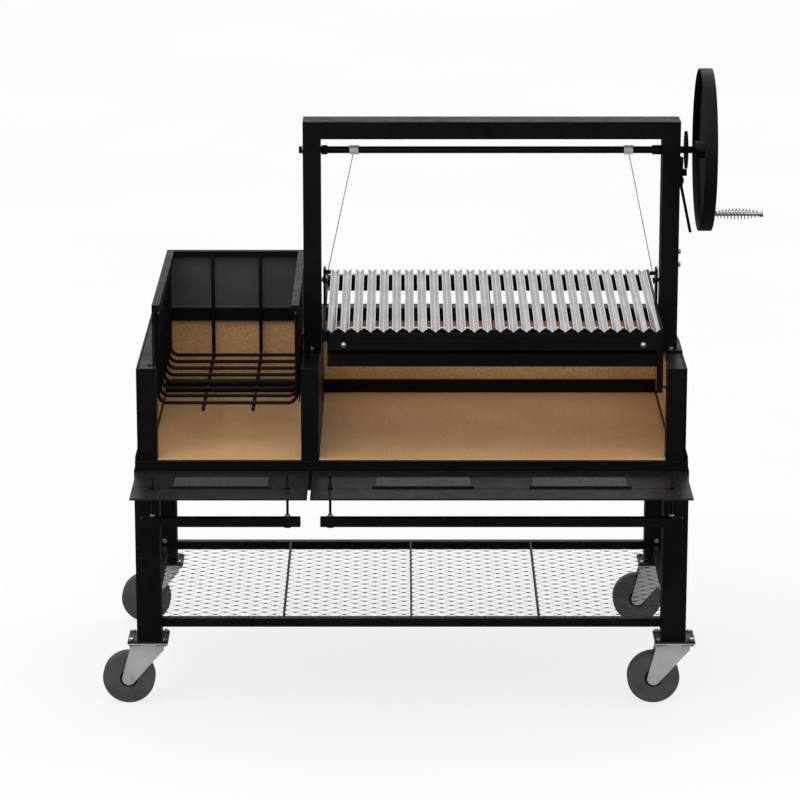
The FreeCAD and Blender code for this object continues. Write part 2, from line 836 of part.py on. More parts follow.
def upright_feet():
    """Plates that carry the uprights on the divider and the right wall."""
    z = (wall_top, wall_top + upright_foot)
    feet = [box((divider_left, left_upright_x + upright_width), upright_foot_y, z),
            box((right_upright_x, wall_half_width), upright_foot_y, z)]
    return feet


def shaft_bushings():
    """Plain bearings of the shaft, pressed into the uprights."""
    inner = shaft_radius + running_gap
    left = ring((left_upright_x - bushing_proud, shaft_y, shaft_z),
                (left_upright_x + upright_width, shaft_y, shaft_z), bushing_radius, inner)
    right = ring((right_upright_x + face_gap, shaft_y, shaft_z),
                 (right_upright_x + upright_width + bushing_proud, shaft_y, shaft_z), bushing_radius, inner)
    return [left, right]


def stand_fasteners():
    """Caster bolts, foot bolts of the uprights and the small bolts on the frame."""
    solids = []
    for name, side, y in corners():
        solids += caster_bolts(side, y)
    for x in foot_bolt_x:
        for y in foot_bolt_y:
            solids.append(hexagon((x, y, wall_top + upright_foot), Z_AXIS, bolt_flats, nut_height))
    outer = right_upright_x + upright_width
    for z in stop_bolt_z:
        solids.append(hexagon((outer, upright_front_y + stop_bolt_inset, z), X_AXIS, bolt_flats, nut_height))
    for x in (-leg_centre_x, leg_centre_x):
        place = (x, stand_depth - leg_side, shelf_top + shelf_bolt_rise)
        solids.append(hexagon(place, Y_AXIS * -1, bolt_flats, nut_height))
    return solids


# ---- crank ----
def on_shaft(x, outer, inner=shaft_radius):
    """Ring on the shaft between two ends."""
    return ring((x[0], shaft_y, shaft_z), (x[1], shaft_y, shaft_z), outer, inner)


def ratchet_gear():
    """Toothed disc: straight radial faces on one side of each tooth, slopes on the other."""
    points = []
    for k in range(gear_teeth):
        start = 2 * math.pi * k / gear_teeth
        for radius, turn in ((gear_radius, start), (gear_root_radius, start + gear_undercut)):
            points.append((gear_x[0], shaft_y + radius * math.cos(turn), shaft_z + radius * math.sin(turn)))
    disc = slab(points, X_AXIS * (gear_x[1] - gear_x[0]))
    return disc.cut(rod((gear_x[0], shaft_y, shaft_z), (gear_x[1], shaft_y, shaft_z), shaft_radius))


def handwheel_rim():
    """Wide band of the wheel."""
    return on_shaft(wheel_rim_x, wheel_rim_radius, wheel_rim_radius - wheel_rim_band)


def handwheel_web():
    """Solid web and hub of the wheel, bored for the handle's spindle."""
    web = on_shaft(web_x, wheel_rim_radius - wheel_rim_band)
    hub = on_shaft(hub_x, hub_radius)
    bore = rod((shaft_x[0], shaft_y, shaft_z), (shaft_x[1], shaft_y, shaft_z), shaft_radius)
    seat = rod((web_x[0], grip_y, grip_z), (web_x[1], grip_y, grip_z), spindle_radius)
    return web.fuse(hub).cut(bore.fuse(seat)).removeSplitter()


def handle_spindle():
    """Pin that carries the spring grip, with a nut behind the web and a knob at its end."""
    pin = rod((web_x[0] - nut_height, grip_y, grip_z), (spindle_end, grip_y, grip_z), spindle_radius)
    nut = hexagon((web_x[0] - nut_height, grip_y, grip_z), X_AXIS, 3 * spindle_radius, nut_height)
    shoulder = rod((web_x[1], grip_y, grip_z), (grip_x[0] - face_gap, grip_y, grip_z), knob_radius)
    knob = rod((grip_x[1] + face_gap, grip_y, grip_z), (spindle_end, grip_y, grip_z), knob_radius)
    return pin.fuse([nut, shoulder, knob]).removeSplitter()


def spring_grip():
    """Outer form of the coiled wire grip: slim at both ends and full in the middle."""
    bore = spindle_radius + running_gap
    middle = (grip_x[0] + grip_x[1]) / 2

    def at(x, radius):
        return V(x, grip_y + radius, grip_z)

    curve = Part.Arc(at(grip_x[0], grip_end_radius), at(middle, grip_middle_radius),
                     at(grip_x[1], grip_end_radius)).toShape()
    edges = [curve,
             Part.LineSegment(at(grip_x[1], grip_end_radius), at(grip_x[1], bore)).toShape(),
             Part.LineSegment(at(grip_x[1], bore), at(grip_x[0], bore)).toShape(),
             Part.LineSegment(at(grip_x[0], bore), at(grip_x[0], grip_end_radius)).toShape()]
    face = Part.Face(Part.Wire(edges))
    return face.revolve(V(0, grip_y, grip_z), X_AXIS, 360)


# ---- pawl ----
def pawl_pin():
    """Pivot of the pawl, with a shoulder on the upright and a head outside the pawl."""
    outer = right_upright_x + upright_width
    start = (outer, shaft_y, pawl_pivot_z)
    end = (pawl_x[1] + pawl_head, shaft_y, pawl_pivot_z)
    pin = rod(start, end, pawl_pin_radius)
    shoulder = rod(start, (pawl_x[0] - face_gap, shaft_y, pawl_pivot_z), pawl_shoulder_radius)
    head = rod((pawl_x[1] + face_gap, shaft_y, pawl_pivot_z), end, pawl_head_radius)
    return pin.fuse([shoulder, head])


def ratchet_pawl():
    """Hanging lever: a blade behind the gear, a tooth under its rim and a tail to pull."""
    half = pawl_width / 2
    low_y = shaft_y - half
    thickness = pawl_x[1] - pawl_x[0]
    blade = box(pawl_x, (low_y, shaft_y + half), (pawl_bend_z, pawl_top))
    tail_points = [(pawl_x[0], low_y, pawl_bend_z), (pawl_x[1], low_y, pawl_bend_z),
                   (pawl_x[1] + pawl_tail_shift, low_y, pawl_tail_z),
                   (pawl_x[0] + pawl_tail_shift, low_y, pawl_tail_z)]
    tail = slab(tail_points, Y_AXIS * pawl_width)
    grip_share = pawl_grip_height / (pawl_bend_z - pawl_tail_z)
    grip_top_x = pawl_x[0] + pawl_tail_shift * (1 - grip_share)
    grip_low_y = shaft_y - pawl_grip_width / 2
    grip_points = [(grip_top_x, grip_low_y, pawl_tail_z + pawl_grip_height),
                   (grip_top_x + thickness, grip_low_y, pawl_tail_z + pawl_grip_height),
                   (pawl_x[1] + pawl_tail_shift, grip_low_y, pawl_tail_z),
                   (pawl_x[0] + pawl_tail_shift, grip_low_y, pawl_tail_z)]
    grip = slab(grip_points, Y_AXIS * pawl_grip_width)
    tip_z = shaft_z - gear_radius - tooth_clearance
    foot_z = tip_z - tooth_height
    side_z = tip_z - tooth_slope
    tooth_points = [(pawl_x[1], low_y, foot_z), (pawl_x[1], shaft_y + half, foot_z),
                    (pawl_x[1], shaft_y + half, side_z), (pawl_x[1], shaft_y, tip_z), (pawl_x[1], low_y, side_z)]
    tooth = slab(tooth_points, X_AXIS * (gear_x[1] - pawl_x[1]))
    hole = rod((pawl_x[0], shaft_y, pawl_pivot_z), (pawl_x[1], shaft_y, pawl_pivot_z),
               pawl_pin_radius + running_gap)
    return blade.fuse([tail, grip, tooth]).cut(hole).removeSplitter()


# ---- grate carriage ----
def grate_half(first, last):
    """V-shaped channels, open upwards, welded to a bar near each end."""
    half = channel_width / 2
    inner_z = channel_wall_z - channel_depth
    parts = []
    for k in range(first, last):
        x = first_channel_x + k * channel_pitch
        outline = [(x - half, 0), (x - channel_floor, -channel_depth), (x + channel_floor, -channel_depth),
                   (x + half, 0), (x + half - channel_wall_x, 0), (x + channel_floor, inner_z),
                   (x - channel_floor, inner_z), (x - half + channel_wall_x, 0)]
        points = [(px, channel_front_y, pz) for px, pz in outline]
        parts.append(slab(points, Y_AXIS * (channel_back_y - channel_front_y)))
    bar_x = (first_channel_x + first * channel_pitch - half, first_channel_x + (last - 1) * channel_pitch + half)
    for bar_y in (front_bar_y, rear_bar_y):
        parts.append(box(bar_x, (bar_y, bar_y + cross_bar_width), (cross_bar_bottom, cross_bar_top)))
    return sloped(parts[0].fuse(parts[1:]))


def carriage_frame():
    """Side, centre and cross rails under the grate, and the low tube in front with its apron."""
    left_x = (side_rail_left_x, side_rail_left_x + side_rail)
    right_x = (side_rail_right_x - side_rail, side_rail_right_x)
    rail_z = (side_rail_bottom, side_rail_top)
    inner_x = (left_x[1], right_x[0])
    seat = cross_bar_bottom - seat_gap
    left = sloped(box(left_x, side_rail_y, rail_z))
    right = sloped(box(right_x, side_rail_y, rail_z))
    rear = sloped(box(inner_x, rear_rail_y, (rear_rail_bottom, seat)))
    front = sloped(box(inner_x, front_rail_y, (side_rail_bottom, seat)))
    centre = sloped(box(centre_rail_x, (front_rail_y[1], rear_rail_y[0]), (side_rail_bottom, seat)))
    low = tube(low_tube_x, low_tube_y, low_tube_z, "x", rail_wall)
    apron = box(low_tube_x, (low_tube_y[1] - trough_wall, low_tube_y[1]), (low_tube_z[1], trough_z[0]))
    plate_z = (low_tube_z[0], trough_z[1] - nut_height)
    left_plate = box((low_tube_x[0] - hanger_plate, low_tube_x[0]), low_tube_y, plate_z)
    filler = box((left_x[1], low_tube_x[0] - hanger_plate), low_tube_y, (trough_z[0] + bolt_flats, plate_z[1]))
    right_plate = box((low_tube_x[1], side_rail_right_x), low_tube_y, plate_z).cut(right)
    return [left, right, rear, front, centre, low, left_plate.fuse(filler), right_plate, apron]


def guide_bracket(x_outer, inward, lug_top, rail):
    """Plate on a side rail, with a lug for the cable and an axle for the roller."""
    x = (x_outer, x_outer + inward * side_rail)
    plate = box(x, guide_y, (deck_front_z, guide_top)).cut(rail)
    lug = box((x[1], x[1] + inward * lug_length), (cable_y - lug_y_half, cable_y + lug_y_half),
              (lug_top - lug_height, lug_top))
    roller_x = roller_centre(x_outer, inward)
    block_x = (x_outer, roller_x + inward * 2 * roller_axle)
    block = box(block_x, (guide_y[1] - lug_height, guide_y[1]),
                (roller_z - 2 * roller_axle, roller_z + 2 * roller_axle))
    axle = rod((roller_x, guide_y[1], roller_z), (roller_x, roller_y[1] + 2, roller_z), roller_axle)
    return plate.fuse([lug, block, axle]).removeSplitter()


def roller_centre(x_outer, inward):
    """Roller axis that leaves a small gap to the upright's inner face."""
    face = left_upright_x + upright_width if inward > 0 else right_upright_x
    return face + inward * (roller_radius + face_gap)


def guide_arm():
    """Flat arm on the low tube, with the peg that follows the right front post."""
    arm = box(arm_x, arm_y, arm_z)
    peg_y = (arm_y[0] + arm_y[1]) / 2
    return arm.fuse(rod((arm_x[1], peg_y, peg_z), (peg_end, peg_y, peg_z), (arm_y[1] - arm_y[0]) / 2))


def grease_trough():
    """Open channel that catches what runs down the sloped grate."""
    body = box(trough_x, trough_y, trough_z)
    inner = box((trough_x[0] + trough_wall, trough_x[1] - trough_wall),
                (trough_y[0] + trough_wall, trough_y[1] - trough_wall), (trough_z[0] + trough_wall, trough_z[1]))
    low_back = box(trough_x, (channel_front_y - trough_wall, trough_y[1]), (trough_back_top, trough_z[1]))
    trough = body.cut(inner.fuse(low_back))
    for x in trough_bolt_x:
        trough = trough.cut(rod((x, trough_y[0], trough_bolt_z), (x, trough_y[0] + trough_wall, trough_bolt_z),
                                bolt_radius))
    return trough


def trough_bolt(x):
    """Domed bolt through the front of the trough, with a washer and a nut inside."""
    front = trough_y[0]
    seat = front - trough_washer
    washer = rod((x, seat, trough_bolt_z), (x, front, trough_bolt_z), bolt_flats / 2 + trough_washer)
    ball = Part.makeSphere(bolt_flats / 2, V(x, seat, trough_bolt_z))
    behind = box((x - bolt_flats, x + bolt_flats), (seat, front + bolt_flats),
                 (trough_bolt_z - bolt_flats, trough_bolt_z + bolt_flats))
    shank = rod((x, front, trough_bolt_z), (x, front + trough_wall + nut_height, trough_bolt_z), bolt_radius)
    nut = hexagon((x, front + trough_wall, trough_bolt_z), Y_AXIS, bolt_flats, nut_height)
    return ball.cut(behind).fuse([washer, shank, nut])


def lift_cable(top_x, lug_x, lug_top):
    """Wire rope from the back of its winding straight down to its lug."""
    return rod((lug_x, cable_y, lug_top + cable_gap), (top_x, cable_y, shaft_z), cable_radius)


def guide_roller(x_outer, inward):
    """Roller that runs on an upright."""
    x = roller_centre(x_outer, inward)
    return ring((x, roller_y[0], roller_z), (x, roller_y[1], roller_z), roller_radius,
                roller_axle + running_gap)


# ---- write every sub-part ----
def save_stand():
    """The fixed stand, firebox and ember enclosure."""
    plates = []
    for name, side, y in corners():
        save(name + "_leg", leg(side, y))
        plates += mount_plates(side, y)
    save("caster_mount_plates", *plates)
    save("upper_rails", *upper_rails())
    save("shelf_frame", *shelf_frame())
    save("shelf_mesh", *shelf_mesh())
    save("base_pan", base_pan())
    save("floor_bricks", *floor_bricks())
    skin_z = (frame_bottom, wall_top)
    left_skin = box((-wall_half_width, -skin_inner_x), (wall_front, wall_back), skin_z)
    save("left_wall_skin", left_skin)
    save("right_wall_skin", mirrored(left_skin))
    save("back_wall_skin", box((-skin_inner_x, skin_inner_x), (wall_back - skin, wall_back), skin_z))
    save("wall_frames", *wall_frames())
    save("wall_bricks", *wall_bricks())
    save("back_wall_cap", back_cap())
    save("brick_retainers", *brick_retainers())
    save("divider", divider())
    left_front = wall_front + post_depth + panel_clearance
    save("brasero_left_panel",
         side_panel(left_panel_x, 1, left_front, left_tab_spans, left_tab_reach))
    save("brasero_right_panel",
         side_panel(right_panel_x, -1, panel_front_y, right_tab_spans, right_tab_reach))
    save("brasero_back_panel", back_panel())
    save("left_front_shelf", front_shelf(left_ledge_x, hanger_x[:2]))
    save("right_front_shelf", front_shelf(right_ledge_x, hanger_x[2:]))
    save("shelf_grilles", *shelf_grilles())
    save("tool_rails", *tool_rails())
    save("tool_rail_hangers", *[tool_rail_hanger(x) for x in hanger_x])
    save("left_upright", upright(left_upright_x))
    save("right_upright", upright(right_upright_x))
    save("top_beam", top_beam())
    save("upright_foot_plates", *upright_feet())
    save("shaft_bushings", *shaft_bushings())
    save("pawl_pin", pawl_pin())
    save("stand_fasteners", *stand_fasteners())


def save_crank():
    """The shaft, what is fixed on it, the handle's grip and the pawl."""
    save("lift_shaft", rod((shaft_x[0], shaft_y, shaft_z), (shaft_x[1], shaft_y, shaft_z), shaft_radius))
    save("shaft_collars", on_shaft(left_collar_x, collar_radius), on_shaft(right_collar_x, collar_radius))
    half = winding_width / 2
    save("cable_windings", *[on_shaft((x - half, x + half), collar_radius) for x in winding_x])
    save("ratchet_gear", ratchet_gear())
    save("handwheel_rim", handwheel_rim())
    save("handwheel_web", handwheel_web())
    save("handle_spindle", handle_spindle())
    save("spring_grip", spring_grip())
    save("ratchet_pawl", ratchet_pawl())


def save_carriage():
    """The grate carriage, its two grate halves, its cables and its rollers."""
    frame = carriage_frame()
    save("carriage_frame", *frame)
    left_lug_x = side_rail_left_x + side_rail + lug_length / 2
    right_lug_x = side_rail_right_x - side_rail - lug_length / 2
    save("carriage_brackets",
         guide_bracket(side_rail_left_x, 1, left_lug_top, frame[0]),
         guide_bracket(side_rail_right_x, -1, right_lug_top, frame[1]),
         guide_arm())
    save("grease_trough", grease_trough())
    save("trough_bolts", *[trough_bolt(x) for x in trough_bolt_x])
    save("lift_cables", lift_cable(winding_x[0], left_lug_x, left_lug_top),
         lift_cable(winding_x[1], right_lug_x, right_lug_top))
    save("left_grate", grate_half(0, channel_count // 2))
    save("right_grate", grate_half(channel_count // 2, channel_count))
    save("left_guide_roller", guide_roller(side_rail_left_x, 1))
    save("right_guide_roller", guide_roller(side_rail_right_x, -1))


def save_casters():
    """Four forks and four wheels."""
    for name, side, y in corners():
        save(name + "_caster_fork", *caster_fork(side, y))
        save(name + "_caster_wheel", *caster_wheel(side, y))


os.makedirs("parts", exist_ok=True)
save_stand()
save_crank()
save_carriage()
save("ember_basket", *basket_solids())
save_casters()
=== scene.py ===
"""Looks of the wood-fire grill: materials for every CAD part and the finer pieces that replace some of them.

Metres, in the frame's own axes: x to the grill's right, y to the back, z up from the floor.
"""
import json
import math

import bmesh
import bpy
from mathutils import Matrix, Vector


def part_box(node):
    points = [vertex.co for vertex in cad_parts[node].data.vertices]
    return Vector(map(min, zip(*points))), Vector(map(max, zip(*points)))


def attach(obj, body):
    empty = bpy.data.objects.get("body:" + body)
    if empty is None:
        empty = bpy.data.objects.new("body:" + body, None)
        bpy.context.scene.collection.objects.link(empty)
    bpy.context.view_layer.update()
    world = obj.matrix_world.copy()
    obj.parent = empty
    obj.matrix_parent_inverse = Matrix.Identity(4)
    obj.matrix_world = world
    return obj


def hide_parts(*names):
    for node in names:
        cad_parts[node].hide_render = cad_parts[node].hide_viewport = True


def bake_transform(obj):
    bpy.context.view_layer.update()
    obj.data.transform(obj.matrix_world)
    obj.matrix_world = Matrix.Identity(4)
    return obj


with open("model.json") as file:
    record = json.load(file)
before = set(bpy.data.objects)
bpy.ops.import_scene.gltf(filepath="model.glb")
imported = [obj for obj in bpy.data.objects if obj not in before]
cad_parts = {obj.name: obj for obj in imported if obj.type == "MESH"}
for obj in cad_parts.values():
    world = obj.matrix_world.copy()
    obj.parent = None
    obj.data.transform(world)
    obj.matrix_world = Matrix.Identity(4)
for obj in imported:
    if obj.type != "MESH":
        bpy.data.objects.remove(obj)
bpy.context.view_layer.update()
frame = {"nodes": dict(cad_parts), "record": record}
nodes = frame["nodes"]

# ---- camera, floor and light ----
CAMERA_PLACE = (-0.08465, -10.1771, 3.54705)
CAMERA_PITCH = 14.92        # degrees down
CAMERA_LENS = 163.84        # mm
CAMERA_SENSOR = 36.0        # mm
CAMERA_REACH = 200
FLOOR_HALF = 60.0
FLOOR_DROP = 0.0005
FLOOR_GLOW = 0.76
FLOOR_TONES = ((0.20, 0.20, 0.20), (0.22, 0.22, 0.22))
WORLD_STRENGTH = 1.0
HORIZON_LOW = -0.05
HORIZON_HIGH = 0.30
REFLECTED_LOW = 0.10
REFLECTED_HIGH = 1.10
KEY_PLACE = (-2.5, -3.0, 6.0)
KEY_SIZE = 5.0
KEY_POWER = 90.0
KEY_AIM = (0, 0, 0.8)

# ---- surface patterns: scales per metre, depths in metres ----
CLOUD_SCALE = 7
SCUFF_SCALE = 60
SCUFF_DEPTH = 0.001
SMEAR_SCALE = 22
# Radius, gain and base of the lighter edge colour: partly rubbed wear, partly a painted edge highlight.
WORN_AND_HIGHLIT_RADIUS = 0.0016
WORN_AND_HIGHLIT_GAIN = 3.2
WORN_AND_HIGHLIT_BASE = 0.006
PEEL_SCALE = 520
PEEL_DEPTH = 0.0006
WAVE_SCALE = 35
WAVE_DEPTH = 0.002
DRIFT_SCALE = 11
STREAK_SCALE = 40
BRUSH_SCALE = 300
BRUSH_DEPTH = 0.0004
DENT_SCALE = 18
STAIN_SCALE = 4.5
GRIT_SCALE = 240
GRAIN_SCALE = 90
PORE_SCALE = 190
BLOOM_SCALE = 26
MOULD_SCALE = 700

# ---- edges of the metal parts ----
EDGE_WIDTH = 0.0008
SOFT_EDGE_WIDTH = 0.002
WELD_DISTANCE = 0.00001
EDGE_ANGLE = 32             # degrees
SMOOTH_ANGLE = 35           # degrees

# ---- folded top of the ember enclosure's back ----
BACK_PANEL_FOLD_Z = 1.1525

# ---- stop bar of the drip grilles ----
GRILLE_BAR_Y = -0.444

# ---- expanded metal of the lower shelf ----
CELL_WIDTH = 0.057
CELL_DEPTH = 0.041
STRAND = 0.0010
KNUCKLE_X = 0.0046
KNUCKLE_Y = 0.0034
SHEET_METAL = 0.0005
SPARE_COLUMNS = 3           # past a bay's edges, cut off again
SPARE_ROWS = 4

# ---- lift ropes, windings and grip ----
ROPE_RADIUS = 0.00175
ROPE_STRANDS = 6
ROPE_LAY = 0.013
ROPE_CORE_GAP = 0.5         # of a strand's radius
ROPE_SIDES = 6
STEPS_PER_LAY = 12
WINDING_PITCH = 0.0037
WINDING_RADIUS = 0.01175
WINDING_STEPS = 28          # in one turn
WIRE_SIDES = 8
WIRE_RADIUS = 0.0012
GRIP_TURNS = 13
GRIP_END_RADIUS = 0.0080
GRIP_MIDDLE_RADIUS = 0.0160
GRIP_FULLNESS = 0.8
GRIP_STEPS = 26             # in one turn

# ---- threaded hangers ----
THREAD_PITCH = 0.00125
THREAD_DEPTH = 0.0007
HANGER_RADIUS = 0.004
WASHER_HEIGHT = 0.0025
NUT_HEIGHT = 0.0065
NUT_FLATS = 0.013
NUT_CHAMFER = 0.14          # of the height
NUT_FACE = 0.97             # of half the flats
NUT_SIDES = 24
ROD_SIDES = 12
THREAD_STEPS = 4            # in one pitch
WASHER_CORE = 0.001
WASHER_SIDES = 32
SHELF_SHEET = 0.003

# ---- caster wheels ----
TYRE_RADIUS = 0.075
TYRE_INNER = 0.026
TYRE_SHOULDER = 0.006
TYRE_ROUNDING = ((0.0012, 0.45), (0.0030, 0.15))    # in from the side, and share of the shoulder
TYRE_LIP = 0.001
TYRE_SIDES = 96
TYRE_SMOOTH = 40            # degrees
HUB_RECESS = 0.004
HUB_BOSS = 0.014
HUB_BORE = 0.0075
HUB_RIM = 0.004
HUB_SLOPE = 0.003
HUB_FACE_INSET = 0.001
HUB_END_INSET = 0.0005
HUB_SIDES = 72
HUB_SMOOTH = 30             # degrees
CASTER_PLATE_Z = 0.190      # zinc below, painted foot plate above


# ---- material helpers ----
class Look:
    """A node material with one main shader, and the few patterns that feed it."""

    def __init__(self, name, **sockets):
        self.material = bpy.data.materials.new(name)
        self.material.use_nodes = True
        self.tree = self.material.node_tree
        self.shader = self.tree.nodes["Principled BSDF"]
        self.place = self.tree.nodes.new("ShaderNodeTexCoord").outputs["Object"]
        for socket, value in sockets.items():
            self.shader.inputs[socket.replace("_", " ")].default_value = value

    def node(self, kind, inputs=None, **settings):
        """A new node with its settings, linked to or set from the given inputs."""
        made = self.tree.nodes.new(kind)
        for key, value in settings.items():
            setattr(made, key, value)
        for key, value in (inputs or {}).items():
            if isinstance(value, bpy.types.NodeSocket):
                self.tree.links.new(value, made.inputs[key])
            else:
                made.inputs[key].default_value = value
        return made

    def noise(self, scale, detail=3.0, stretch=(1, 1, 1), distortion=0.0):
        """Noise in the object's own coordinates, from about 0.3 to 0.7."""
        spot = self.node("ShaderNodeMapping", {"Vector": self.place, "Scale": stretch})
        inputs = {"Vector": spot.outputs[0], "Scale": scale, "Detail": detail, "Distortion": distortion}
        return self.node("ShaderNodeTexNoise", inputs).outputs["Fac"]

    def cells(self, scale):
        """Distance to the nearest of many scattered points."""
        return self.node("ShaderNodeTexVoronoi", {"Vector": self.place, "Scale": scale}).outputs["Distance"]

    def spread(self, value, low, high, start=0.3, end=0.7):
        """A pattern turned into a number between low and high."""
        inputs = {"Value": value, "From Min": start, "From Max": end, "To Min": low, "To Max": high}
        return self.node("ShaderNodeMapRange", inputs).outputs[0]

    def between(self, value, first, second):
        """A colour between two, by a pattern."""
        made = self.node("ShaderNodeMix", data_type="RGBA")
        self.tree.links.new(value, made.inputs["Factor"])
        made.inputs[6].default_value = (*first, 1.0)
        made.inputs[7].default_value = (*second, 1.0)
        return made.outputs[2]

    def blended(self, value, first, second):
        """A mix of two colour outputs, by a pattern."""
        made = self.node("ShaderNodeMix", data_type="RGBA")
        for socket, source in (("Factor", value), (6, first), (7, second)):
            self.tree.links.new(source, made.inputs[socket])
        return made.outputs[2]

    def paint(self, colour=None, roughness=None, metal=None):
        """Links the shader's colour, roughness and metal to patterns."""
        for name, source in (("Base Color", colour), ("Roughness", roughness), ("Metallic", metal)):
            if source is not None:
                self.tree.links.new(source, self.shader.inputs[name])

    def bumps(self, *layers):
        """Surface height from (pattern, strength, distance) layers."""
        normal = None
        for height, strength, distance in layers:
            inputs = {"Height": height, "Strength": strength, "Distance": distance}
            if normal is not None:
                inputs["Normal"] = normal
            normal = self.node("ShaderNodeBump", inputs).outputs[0]
        self.tree.links.new(normal, self.shader.inputs["Normal"])

    def edge_mask(self, radius):
        """Near 1 at sharp edges and 0 on flat faces."""
        rounded = self.node("ShaderNodeBevel", {"Radius": radius}, samples=4)
        flat = self.node("ShaderNodeNewGeometry").outputs["Normal"]
        dot = self.node("ShaderNodeVectorMath", operation="DOT_PRODUCT")
        self.tree.links.new(rounded.outputs[0], dot.inputs[0])
        self.tree.links.new(flat, dot.inputs[1])
        return self.spread(dot.outputs["Value"], 1.0, 0.0, start=0.80, end=0.995)


def powder_coat(name, dark, light, roughness, grain=PEEL_SCALE, specular=0.12):
    """Satin textured powder coat: a fine orange peel, faint clouding, and sharp edges lightened in patches,
    partly rubbed wear and partly a painted edge highlight.
    """
    look = Look(name, Specular_IOR_Level=specular)
    cloud = look.noise(CLOUD_SCALE, detail=4)
    body = look.between(look.spread(cloud, 0, 1), dark, light)
    # Painted edge highlight: sharp edges get a lighter colour in noisy patches, partly rubbed wear and
    # partly light catching the edges.
    worn_and_highlit_tone = tuple(WORN_AND_HIGHLIT_GAIN * c + WORN_AND_HIGHLIT_BASE for c in light)
    scuff = look.spread(look.noise(SCUFF_SCALE, detail=5), 0, 1, start=0.45, end=0.75)
    worn_and_highlit_mask = look.node("ShaderNodeMath", {0: look.edge_mask(WORN_AND_HIGHLIT_RADIUS), 1: scuff}, operation="MULTIPLY")
    edge = look.between(worn_and_highlit_mask.outputs[0], (0, 0, 0), worn_and_highlit_tone)
    added = look.node("ShaderNodeMix", data_type="RGBA", blend_type="ADD")
    added.inputs["Factor"].default_value = 1.0
    look.tree.links.new(body, added.inputs[6])
    look.tree.links.new(edge, added.inputs[7])
    smear = look.noise(SMEAR_SCALE, detail=6, distortion=0.6)
    look.paint(added.outputs[2], look.spread(smear, roughness - 0.07, roughness + 0.09))
    look.bumps((look.noise(grain, detail=2), 0.10, PEEL_DEPTH),
               (look.noise(WAVE_SCALE, detail=2), 0.04, WAVE_DEPTH))
    return look.material


def two_tone(name, lower, upper, level, roughness):
    """Powder coat in one tone below a level and another above it."""
    material = powder_coat(name, lower[0], lower[1], roughness)
    tree = material.node_tree
    shader = tree.nodes["Principled BSDF"]
    base = shader.inputs["Base Color"].links[0].from_socket
    place = tree.nodes.new("ShaderNodeTexCoord")
    split = tree.nodes.new("ShaderNodeSeparateXYZ")
    above = tree.nodes.new("ShaderNodeMath")
    above.operation = "GREATER_THAN"
    above.inputs[1].default_value = level
    tree.links.new(place.outputs["Object"], split.inputs[0])
    tree.links.new(split.outputs["Z"], above.inputs[0])
    tone = tree.nodes.new("ShaderNodeMix")
    tone.data_type = "RGBA"
    tree.links.new(above.outputs[0], tone.inputs["Factor"])
    tree.links.new(base, tone.inputs[6])
    tone.inputs[7].default_value = (*upper, 1.0)
    tree.links.new(tone.outputs[2], shader.inputs["Base Color"])
    return material


def bright_metal(name, low, high, roughness, brushed=(1, 1, 1), grain=BRUSH_SCALE, metal=1.0):
    """Bare or plated metal with faint brushing, smears and colour drift."""
    look = Look(name, Metallic=metal)
    drift = look.noise(DRIFT_SCALE, detail=5)
    streaks = look.noise(STREAK_SCALE, detail=5, stretch=brushed)
    look.paint(look.between(look.spread(drift, 0, 1), low, high),
               look.spread(streaks, roughness - 0.08, roughness + 0.10))
    look.bumps((look.noise(grain, detail=3, stretch=brushed), 0.10, BRUSH_DEPTH),
               (look.noise(DENT_SCALE, detail=2), 0.05, WAVE_DEPTH))
    return look.material


def part_plated(name, dark_below, light_below, dark_above, light_above, axis, level, metal=0.45):
    """One finish below a level along an axis, plated if metal is above zero, and paint above the level."""
    look = Look(name, Specular_IOR_Level=0.3)
    split = look.node("ShaderNodeSeparateXYZ", {0: look.place})
    test = look.node("ShaderNodeMath", {0: split.outputs[axis], 1: level}, operation="GREATER_THAN")
    above = test.outputs[0]
    drift = look.spread(look.noise(DRIFT_SCALE, detail=5), 0, 1)
    below_tone = look.between(drift, dark_below, light_below)
    above_tone = look.between(drift, dark_above, light_above)
    look.paint(look.blended(above, below_tone, above_tone),
               look.spread(look.noise(STREAK_SCALE, detail=5), 0.32, 0.50),
               look.spread(above, metal, 0.0, start=0, end=1))
    look.bumps((look.noise(BRUSH_SCALE, detail=3), 0.10, BRUSH_DEPTH),
               (look.noise(DENT_SCALE, detail=2), 0.05, WAVE_DEPTH))
    return look.material


def firebrick(name):
    """Cast refractory: warm tan with fine grit, specks, and shallow pores darkened with painted shade."""
    look = Look(name, Specular_IOR_Level=0.15)
    cloud = look.spread(look.noise(STAIN_SCALE, detail=6), 0, 1)
    base = look.between(cloud, (0.60, 0.335, 0.145), (0.74, 0.44, 0.215))
    grit = look.spread(look.noise(GRIT_SCALE, detail=6), 0, 1, start=0.40, end=0.62)
    speck = look.between(grit, (0.42, 0.215, 0.085), (0.80, 0.50, 0.26))
    grain_amount = look.spread(look.noise(GRAIN_SCALE, detail=3), 0.15, 0.65)
    mixed = look.blended(grain_amount, base, speck)
    # Painted shade: the colour is darkened in the pore hollows, where shade falls.
    pore_shade = look.spread(look.cells(PORE_SCALE), 1.0, 0.0, start=0.10, end=0.22)
    dark = look.node("ShaderNodeMix", data_type="RGBA", blend_type="MULTIPLY")
    look.tree.links.new(look.spread(pore_shade, 0.0, 0.55, start=0, end=1), dark.inputs["Factor"])
    look.tree.links.new(mixed, dark.inputs[6])
    dark.inputs[7].default_value = (0.45, 0.36, 0.28, 1)
    look.paint(dark.outputs[2], look.spread(grit, 0.78, 0.95, start=0, end=1))
    look.bumps((look.noise(320, detail=5), 0.35, 0.0010), (look.cells(PORE_SCALE), 0.22, 0.0012),
               (look.noise(24, detail=3), 0.15, 0.003))
    return look.material


